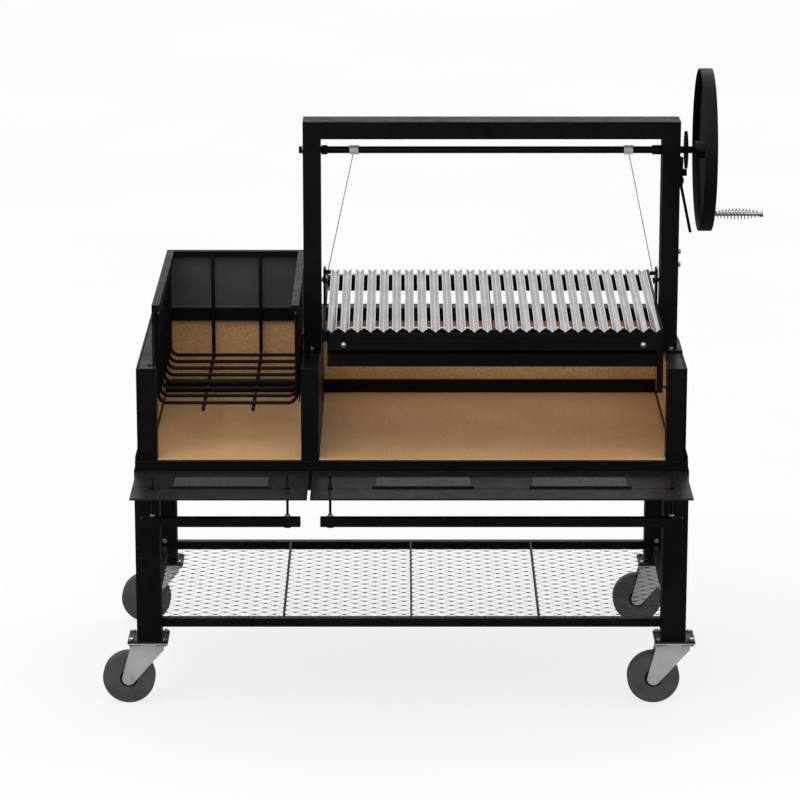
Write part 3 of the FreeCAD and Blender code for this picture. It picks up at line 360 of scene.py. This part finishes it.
def rubber(name, dark, light, roughness):
    """Moulded rubber or plastic with a dusty bloom and a fine mould grain."""
    look = Look(name, Specular_IOR_Level=0.3)
    bloom = look.spread(look.noise(BLOOM_SCALE, detail=6, distortion=0.4), 0, 1)
    look.paint(look.between(bloom, dark, light),
               look.spread(bloom, roughness - 0.08, roughness + 0.10, start=0, end=1))
    look.bumps((look.noise(MOULD_SCALE, detail=2), 0.12, BRUSH_DEPTH),
               (look.noise(SCUFF_SCALE, detail=3), 0.05, SCUFF_DEPTH))
    return look.material


# ---- the materials ----
COAT = powder_coat("black_powder_coat", (0.0020, 0.0020, 0.0022), (0.0040, 0.0040, 0.0043), 0.42)
SHELF_COAT = powder_coat("shelf_powder_coat", (0.010, 0.010, 0.0105), (0.015, 0.015, 0.016), 0.34, grain=380)
MESH_COAT = powder_coat("mesh_powder_coat", (0.010, 0.010, 0.010), (0.018, 0.018, 0.018), 0.45)
GRAY_SHEET = two_tone("inner_gray_sheet", ((0.060, 0.060, 0.061), (0.078, 0.078, 0.079)),
                      (0.004, 0.004, 0.0043), BACK_PANEL_FOLD_Z, 0.48)
GRILLE = part_plated("grille_steel", (0.003, 0.003, 0.003), (0.006, 0.006, 0.006),
                     (0.055, 0.055, 0.056), (0.085, 0.085, 0.086), 1, GRILLE_BAR_Y, metal=0.0)
ZINC_BOLT = bright_metal("zinc_hardware", (0.62, 0.62, 0.61), (0.80, 0.80, 0.79), 0.26)
ZINC = bright_metal("zinc_plate", (0.44, 0.445, 0.435), (0.58, 0.58, 0.57), 0.36,
                    brushed=(1, 1, 7), grain=120, metal=0.45)
MOUNT_PLATES = part_plated("caster_mount_plates", (0.46, 0.46, 0.45), (0.60, 0.60, 0.59),
                           (0.003, 0.003, 0.003), (0.006, 0.006, 0.006), 2, CASTER_PLATE_Z)
BRONZE = bright_metal("bronze_bushing", (0.45, 0.28, 0.12), (0.60, 0.40, 0.19), 0.34)
ROPE = bright_metal("wire_rope", (0.55, 0.55, 0.55), (0.75, 0.75, 0.74), 0.36, metal=0.4)
HANDLE = bright_metal("handle_steel", (0.34, 0.34, 0.34), (0.52, 0.52, 0.51), 0.20)
STAINLESS = bright_metal("satin_stainless", (0.40, 0.395, 0.39), (0.52, 0.515, 0.51), 0.24,
                         brushed=(9, 0.35, 9))
BRICK = firebrick("firebrick")
RUBBER = rubber("wheel_rubber", (0.042, 0.042, 0.042), (0.062, 0.062, 0.062), 0.62)
HUB_BLACK = rubber("wheel_hub_black", (0.006, 0.006, 0.006), (0.010, 0.010, 0.010), 0.5)

SLOT_LOOKS = {
    "black_powder_coat": COAT,
    "shelf_coat": SHELF_COAT,
    "expanded_metal": MESH_COAT,
    "firebrick": BRICK,
    "gray_sheet": GRAY_SHEET,
    "grille_steel": GRILLE,
    "zinc_hardware": ZINC_BOLT,
    "bronze": BRONZE,
    "wire_rope": ROPE,
    "handle_steel": HANDLE,
    "stainless": STAINLESS,
    "zinc_plate": ZINC,
    "wheel_rubber": RUBBER,
}


def slot_of_nodes():
    """Material slot of each CAD node, from the record."""
    found = {}
    for part in frame["record"]["subparts"]:
        found[part["node"]] = part["material_slot"]
    return found


def dress_nodes():
    """Gives every CAD node its material and slightly rounded edges."""
    slots = slot_of_nodes()
    for name, obj in nodes.items():
        look = MOUNT_PLATES if name == "caster_mount_plates" else SLOT_LOOKS[slots[name]]
        for k in range(len(obj.material_slots)):
            obj.material_slots[k].material = look
        weld = obj.modifiers.new("weld", "WELD")
        weld.merge_threshold = WELD_DISTANCE
        edge = obj.modifiers.new("edges", "BEVEL")
        edge.width = SOFT_EDGE_WIDTH if "brick" in name and "retainer" not in name else EDGE_WIDTH
        edge.segments = 2
        edge.limit_method = "ANGLE"
        edge.angle_limit = math.radians(EDGE_ANGLE)
        edge.use_clamp_overlap = True
        edge.harden_normals = False


# ---- mesh helpers ----
def new_piece(name, bm, look, smooth=SMOOTH_ANGLE):
    """A mesh object from a bmesh, with its material, smooth except at sharp edges."""
    bmesh.ops.recalc_face_normals(bm, faces=bm.faces)
    mesh = bpy.data.meshes.new(name)
    bm.to_mesh(mesh)
    bm.free()
    obj = bpy.data.objects.new(name, mesh)
    bpy.context.scene.collection.objects.link(obj)
    mesh.materials.append(look)
    mesh.polygons.foreach_set("use_smooth", [True] * len(mesh.polygons))
    mesh.set_sharp_from_angle(angle=math.radians(smooth))
    return obj


def swept(bm, path, radius, sides):
    """A closed round tube along a list of points, with flat ends."""
    rings = []
    for k, point in enumerate(path):
        along = (path[min(k + 1, len(path) - 1)] - path[max(k - 1, 0)]).normalized()
        if k == 0:
            side = along.orthogonal().normalized()
        else:
            side = (side - along * side.dot(along)).normalized()
        up = along.cross(side)
        ring = []
        for j in range(sides):
            turn = 2 * math.pi * j / sides
            ring.append(bm.verts.new(point + (side * math.cos(turn) + up * math.sin(turn)) * radius))
        rings.append(ring)
    join_rings(bm, rings)


def join_rings(bm, rings):
    """Faces between neighbouring rings of points, and a cap on each end."""
    sides = len(rings[0])
    for first, second in zip(rings[:-1], rings[1:]):
        for j in range(sides):
            bm.faces.new((first[j], first[(j + 1) % sides], second[(j + 1) % sides], second[j]))
    bm.faces.new(rings[0][::-1])
    bm.faces.new(rings[-1])


def turned(bm, profile, centre, axis, sides):
    """A solid of revolution from (distance along the axis, radius) points, closed on itself."""
    side = axis.orthogonal().normalized()
    up = axis.cross(side)
    rings = []
    for along, radius in profile:
        ring = []
        for j in range(sides):
            turn = 2 * math.pi * j / sides
            outward = side * math.cos(turn) + up * math.sin(turn)
            ring.append(bm.verts.new(centre + axis * along + outward * radius))
        rings.append(ring)
    for first, second in zip(rings, rings[1:] + rings[:1]):
        for j in range(sides):
            bm.faces.new((first[j], first[(j + 1) % sides], second[(j + 1) % sides], second[j]))


def ring_point(bm, centre, reach, turn, z):
    """A new point of a level ring round an upright axis."""
    return bm.verts.new((centre.x + reach * math.cos(turn), centre.y + reach * math.sin(turn), z))


def middle(node):
    """Centre of a CAD node's box."""
    low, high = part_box(node)
    return (Vector(low) + Vector(high)) / 2


# ---- expanded metal ----
def loose_boxes(node):
    """Boxes of a node's separate solids, as (low, high) corners."""
    mesh = nodes[node].data
    bm = bmesh.new()
    bm.from_mesh(mesh)
    bmesh.ops.remove_doubles(bm, verts=bm.verts, dist=WELD_DISTANCE)
    bm.verts.ensure_lookup_table()
    seen = set()
    boxes = []
    for start in bm.verts:
        if start in seen:
            continue
        island = []
        waiting = [start]
        seen.add(start)
        while waiting:
            vert = waiting.pop()
            island.append(vert.co.copy())
            for edge in vert.link_edges:
                other = edge.other_vert(vert)
                if other not in seen:
                    seen.add(other)
                    waiting.append(other)
        low = Vector([min(p[k] for p in island) for k in range(3)])
        high = Vector([max(p[k] for p in island) for k in range(3)])
        boxes.append((low, high))
    bm.free()
    return boxes


def diamond_cell(bm, x, y, z):
    """One flattened diamond opening with its share of the strands and knuckles around it."""
    half_w = CELL_WIDTH / 2
    half_d = CELL_DEPTH / 2
    inset = STRAND / 2 * math.hypot(half_w, half_d) / (half_w * half_d)
    in_w = half_w * (1 - inset)
    in_d = half_d * (1 - inset)
    tip_x = in_w - KNUCKLE_X
    tip_y = in_d - KNUCKLE_Y
    side_y = in_d * KNUCKLE_X / in_w
    side_x = in_w * KNUCKLE_Y / in_d
    outer = [bm.verts.new((x + px, y + py, z)) for px, py in
             ((0, half_d), (half_w, 0), (0, -half_d), (-half_w, 0))]
    inner = [bm.verts.new((x + px, y + py, z)) for px, py in
             ((-side_x, tip_y), (side_x, tip_y), (tip_x, side_y), (tip_x, -side_y),
              (side_x, -tip_y), (-side_x, -tip_y), (-tip_x, -side_y), (-tip_x, side_y))]
    for k in range(4):
        after = inner[2 * k + 1]
        next_tip = inner[(2 * k + 2) % 8]
        bm.faces.new((outer[k], outer[(k + 1) % 4], next_tip, after))
        bm.faces.new((outer[k], after, inner[2 * k]))


def expanded_metal():
    """Sheets of expanded metal in the four bays of the lower shelf."""
    bm = bmesh.new()
    for low, high in loose_boxes("shelf_mesh"):
        bay = bmesh.new()
        z = (low.z + high.z) / 2
        columns = int((high.x - low.x) / CELL_WIDTH) + SPARE_COLUMNS
        rows = int((high.y - low.y) / CELL_DEPTH * 2) + SPARE_ROWS
        for row in range(rows):
            for column in range(columns):
                x = low.x + (column + row % 2 / 2 - 0.5) * CELL_WIDTH
                y = low.y + (row - 1) * CELL_DEPTH / 2
                diamond_cell(bay, x, y, z)
        bmesh.ops.remove_doubles(bay, verts=bay.verts, dist=WELD_DISTANCE)
        for place, away in ((low, Vector((-1, 0, 0))), (high, Vector((1, 0, 0))),
                            (low, Vector((0, -1, 0))), (high, Vector((0, 1, 0)))):
            parts = bay.verts[:] + bay.edges[:] + bay.faces[:]
            bmesh.ops.bisect_plane(bay, geom=parts, plane_co=place, plane_no=away, clear_outer=True)
        mesh = bpy.data.meshes.new("bay")
        bay.to_mesh(mesh)
        bay.free()
        bm.from_mesh(mesh)
        bpy.data.meshes.remove(mesh)
    piece = new_piece("expanded_metal", bm, MESH_COAT)
    thick = piece.modifiers.new("thickness", "SOLIDIFY")
    thick.thickness = SHEET_METAL
    thick.offset = 0
    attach(piece, "stand")
    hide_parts("shelf_mesh")


# ---- ropes, windings and grip ----
def rope_strands(bm, start, end):
    """Strands laid in a helix round the straight line between two points."""
    run = end - start
    axis = run.normalized()
    side = axis.orthogonal().normalized()
    up = axis.cross(side)
    strand_radius = ROPE_RADIUS / 3
    lay_radius = ROPE_RADIUS - strand_radius
    steps = int(run.length / ROPE_LAY * STEPS_PER_LAY)
    for strand in range(ROPE_STRANDS):
        path = []
        for k in range(steps + 1):
            along = run.length * k / steps
            turn = 2 * math.pi * (along / ROPE_LAY + strand / ROPE_STRANDS)
            path.append(start + axis * along + (side * math.cos(turn) + up * math.sin(turn)) * lay_radius)
        swept(bm, path, strand_radius, ROPE_SIDES)
    core_radius = lay_radius - strand_radius * ROPE_CORE_GAP
    swept(bm, [start, start + run / 2, end], core_radius, ROPE_SIDES)


def lift_ropes():
    """The two wire ropes between the windings and the carriage."""
    for name, (low, high) in zip(("left_lift_rope", "right_lift_rope"), rope_boxes()):
        bm = bmesh.new()
        y = (low.y + high.y) / 2
        inward = 1 if name.startswith("left") else -1
        near, far = (low.x, high.x) if inward > 0 else (high.x, low.x)
        bottom = Vector((near + inward * ROPE_RADIUS, y, low.z + ROPE_RADIUS))
        top = Vector((far - inward * ROPE_RADIUS, y, high.z - ROPE_RADIUS))
        rope_strands(bm, top, bottom)
        piece = new_piece(name, bm, ROPE)
        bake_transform(piece)
        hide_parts("lift_cables")


def rope_boxes():
    """Boxes of the two CAD cables, left first."""
    return sorted(loose_boxes("lift_cables"), key=lambda pair: pair[0].x)


def rope_windings():
    """Turns of rope on the shaft, at the top of each lift rope."""
    axis_y, axis_z = middle("lift_shaft").y, middle("lift_shaft").z
    for name, (low, high) in zip(("left_winding", "right_winding"),
                                 sorted(loose_boxes("cable_windings"), key=lambda pair: pair[0].x)):
        bm = bmesh.new()
        first = low.x + ROPE_RADIUS
        length = high.x - low.x - 2 * ROPE_RADIUS
        turns = length / WINDING_PITCH
        steps = int(turns * WINDING_STEPS)
        path = []
        for k in range(steps + 1):
            turn = 2 * math.pi * turns * k / steps
            path.append(Vector((first + length * k / steps, axis_y + WINDING_RADIUS * math.cos(turn),
                                axis_z + WINDING_RADIUS * math.sin(turn))))
        swept(bm, path, ROPE_RADIUS, WIRE_SIDES)
        piece = new_piece(name, bm, ROPE)
        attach(piece, "crank")
        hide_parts("cable_windings")


def coil_grip():
    """Cooling coil of bright wire round the spindle, full in the middle and slim at both ends."""
    low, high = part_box("spring_grip")
    centre = middle("spring_grip")
    length = high[0] - low[0] - 2 * WIRE_RADIUS
    steps = GRIP_TURNS * GRIP_STEPS
    path = []
    for k in range(steps + 1):
        share = k / steps
        swell = math.sin(math.pi * share) ** GRIP_FULLNESS
        reach = GRIP_END_RADIUS + (GRIP_MIDDLE_RADIUS - GRIP_END_RADIUS) * swell
        reach -= WIRE_RADIUS
        turn = 2 * math.pi * GRIP_TURNS * share
        path.append(Vector((low[0] + WIRE_RADIUS + length * share, centre.y + reach * math.cos(turn),
                            centre.z + reach * math.sin(turn))))
    bm = bmesh.new()
    swept(bm, path, WIRE_RADIUS, WIRE_SIDES)
    piece = new_piece("coil_grip", bm, HANDLE)
    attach(piece, "handle")
    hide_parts("spring_grip")


# ---- threaded hangers ----
def threaded_rod(bm, centre, low_z, high_z, radius):
    """Rod with a rolled thread, drawn as rings whose points rise and fall with the thread."""
    steps = int((high_z - low_z) / THREAD_PITCH * THREAD_STEPS)
    rings = []
    for k in range(steps + 1):
        z = low_z + (high_z - low_z) * k / steps
        ring = []
        for j in range(ROD_SIDES):
            turn = 2 * math.pi * j / ROD_SIDES
            phase = (z / THREAD_PITCH - j / ROD_SIDES) % 1.0
            reach = radius - THREAD_DEPTH * abs(2 * phase - 1)
            ring.append(ring_point(bm, centre, reach, turn, z))
        rings.append(ring)
    join_rings(bm, rings)


def chamfered_nut(bm, centre, low_z, height, flats):
    """Hexagonal nut with its corners turned down at both faces."""
    corner = flats / math.sqrt(3)
    face = flats / 2 * NUT_FACE
    rings = []
    levels = ((low_z, face), (low_z + height * NUT_CHAMFER, corner),
              (low_z + height * (1 - NUT_CHAMFER), corner), (low_z + height, face))
    for z, limit in levels:
        ring = []
        for j in range(NUT_SIDES):
            turn = 2 * math.pi * j / NUT_SIDES
            to_flat = (turn + math.pi / 6) % (math.pi / 3) - math.pi / 6
            reach = min(flats / 2 / math.cos(to_flat), limit)
            ring.append(ring_point(bm, centre, reach, turn, z))
        rings.append(ring)
    join_rings(bm, rings)


def washer(bm, centre, low_z, height, radius):
    """Plain round washer with slightly rounded rims."""
    soft = height / 4
    profile = [(low_z, radius - soft), (low_z + soft, radius), (low_z + height - soft, radius),
               (low_z + height, radius - soft), (low_z + height, WASHER_CORE), (low_z, WASHER_CORE)]
    turned(bm, profile, Vector((centre.x, centre.y, 0)), Vector((0, 0, 1)), WASHER_SIDES)


def hangers():
    """Threaded hangers of the tool rails, with black nuts and washers and a bright nut on each rail."""
    rods = bmesh.new()
    nuts = bmesh.new()
    rail_low, rail_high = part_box("tool_rails")
    shelf_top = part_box("right_front_shelf")[1][2]
    for low, high in loose_boxes("tool_rail_hangers"):
        centre = (low + high) / 2
        threaded_rod(rods, centre, low.z, high.z, HANGER_RADIUS)
        for z in (rail_low[2] - WASHER_HEIGHT, rail_high[2]):
            washer(rods, centre, z, WASHER_HEIGHT, (high.y - low.y) / 2)
        for z in (shelf_top - SHELF_SHEET - NUT_HEIGHT, shelf_top):
            chamfered_nut(rods, centre, z, NUT_HEIGHT, NUT_FLATS)
        chamfered_nut(nuts, centre, rail_high[2] + WASHER_HEIGHT, NUT_HEIGHT, NUT_FLATS)
    for name, bm, look, slot in (("threaded_hangers", rods, COAT, "black_powder_coat"),
                                 ("hanger_rail_nuts", nuts, ZINC_BOLT, "zinc_hardware")):
        piece = new_piece(name, bm, look)
        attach(piece, "stand")
        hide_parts("tool_rail_hangers")


# ---- caster wheels ----
def mirrored(profile):
    """A profile followed by its mirror image across the middle of the wheel."""
    return profile + [(-along, radius) for along, radius in reversed(profile)]


def tyre_profile(half):
    """Outline of the tread: flat sides, rounded shoulders, a flat run."""
    rounding = [(-half + inward, TYRE_RADIUS - TYRE_SHOULDER * share) for inward, share in TYRE_ROUNDING]
    side = [(-half, TYRE_INNER), (-half, TYRE_RADIUS - TYRE_SHOULDER), *rounding,
            (-half + TYRE_SHOULDER, TYRE_RADIUS)]
    inside = TYRE_INNER - TYRE_LIP
    seat = half - 2 * TYRE_LIP
    return mirrored(side) + [(seat, inside), (-seat, inside)]


def hub_profile(half):
    """Outline of the hub: a sunk ring between its rim and the boss on the axle."""
    face = -half + HUB_FACE_INSET
    floor = -half + HUB_RECESS
    rim = [(face, TYRE_INNER - TYRE_LIP), (floor, TYRE_INNER - HUB_RIM)]
    boss = [(floor, HUB_BOSS + HUB_SLOPE), (face, HUB_BOSS), (-half + HUB_END_INSET, HUB_BORE)]
    return mirrored(rim + boss)


def caster_wheels():
    """Tyre and dished hub of each caster wheel."""
    axis = Vector((0, 1, 0))
    for corner in ("front_left", "front_right", "rear_left", "rear_right"):
        node = corner + "_caster_wheel"
        low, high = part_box(node)
        centre = middle(node)
        half = (high[1] - low[1]) / 2
        bm = bmesh.new()
        turned(bm, tyre_profile(half), centre, axis, TYRE_SIDES)
        piece = new_piece(corner + "_tyre", bm, RUBBER, smooth=TYRE_SMOOTH)
        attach(piece, corner + "_wheel")
        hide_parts(node)
        bm = bmesh.new()
        turned(bm, hub_profile(half), centre, axis, HUB_SIDES)
        piece = new_piece(corner + "_hub", bm, HUB_BLACK, smooth=HUB_SMOOTH)
        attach(piece, corner + "_wheel")
        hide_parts(node)


# ---- stage ----
def studio_light(scene):
    """A pale room that reflects dark below the horizon and bright above it."""
    world = bpy.data.worlds.new("studio")
    scene.world = world
    world.use_nodes = True
    tree = world.node_tree
    direction = tree.nodes.new("ShaderNodeTexCoord")
    split = tree.nodes.new("ShaderNodeSeparateXYZ")
    tree.links.new(direction.outputs["Generated"], split.inputs[0])
    ramp = tree.nodes.new("ShaderNodeMapRange")
    ramp.interpolation_type = "SMOOTHSTEP"
    for socket, value in (("From Min", HORIZON_LOW), ("From Max", HORIZON_HIGH),
                          ("To Min", REFLECTED_LOW), ("To Max", REFLECTED_HIGH)):
        ramp.inputs[socket].default_value = value
    tree.links.new(split.outputs["Z"], ramp.inputs["Value"])
    path = tree.nodes.new("ShaderNodeLightPath")
    choose = tree.nodes.new("ShaderNodeMix")
    tree.links.new(path.outputs["Is Glossy Ray"], choose.inputs["Factor"])
    choose.inputs[2].default_value = WORLD_STRENGTH
    tree.links.new(ramp.outputs[0], choose.inputs[3])
    sky = tree.nodes["Background"]
    sky.inputs["Color"].default_value = (1.0, 1.0, 1.0, 1.0)
    tree.links.new(choose.outputs[0], sky.inputs["Strength"])


def stage():
    """Camera, pale floor and soft light."""
    scene = bpy.context.scene
    camera = bpy.data.cameras.new("camera")
    camera.lens = CAMERA_LENS
    camera.sensor_width = CAMERA_SENSOR
    camera.clip_end = CAMERA_REACH
    view = bpy.data.objects.new("camera", camera)
    view.location = CAMERA_PLACE
    view.rotation_euler = (math.radians(90 - CAMERA_PITCH), 0, 0)
    scene.collection.objects.link(view)
    scene.camera = view
    scene.view_settings.view_transform = "Standard"

    bm = bmesh.new()
    corners = [bm.verts.new((sx * FLOOR_HALF, sy * FLOOR_HALF, -FLOOR_DROP))
               for sx, sy in ((-1, -1), (1, -1), (1, 1), (-1, 1))]
    bm.faces.new(corners)
    pale = Look("pale_floor", Specular_IOR_Level=0.0)
    tone = pale.spread(pale.noise(0.6, detail=3), 0, 1)
    pale.paint(pale.between(tone, *FLOOR_TONES),
               pale.spread(pale.noise(5), 0.85, 0.95))
    pale.shader.inputs["Emission Color"].default_value = (1, 1, 1, 1)
    pale.shader.inputs["Emission Strength"].default_value = FLOOR_GLOW
    floor = new_piece("floor", bm, pale.material)
    floor.visible_glossy = False

    studio_light(scene)

    light = bpy.data.lights.new("key", "AREA")
    light.shape = "SQUARE"
    light.size = KEY_SIZE
    light.energy = KEY_POWER
    key = bpy.data.objects.new("key", light)
    key.location = KEY_PLACE
    key.rotation_euler = (Vector(KEY_AIM) - Vector(KEY_PLACE)).to_track_quat("-Z", "Y").to_euler()
    scene.collection.objects.link(key)


dress_nodes()
expanded_metal()
lift_ropes()
rope_windings()
coil_grip()
hangers()
caster_wheels()
stage()
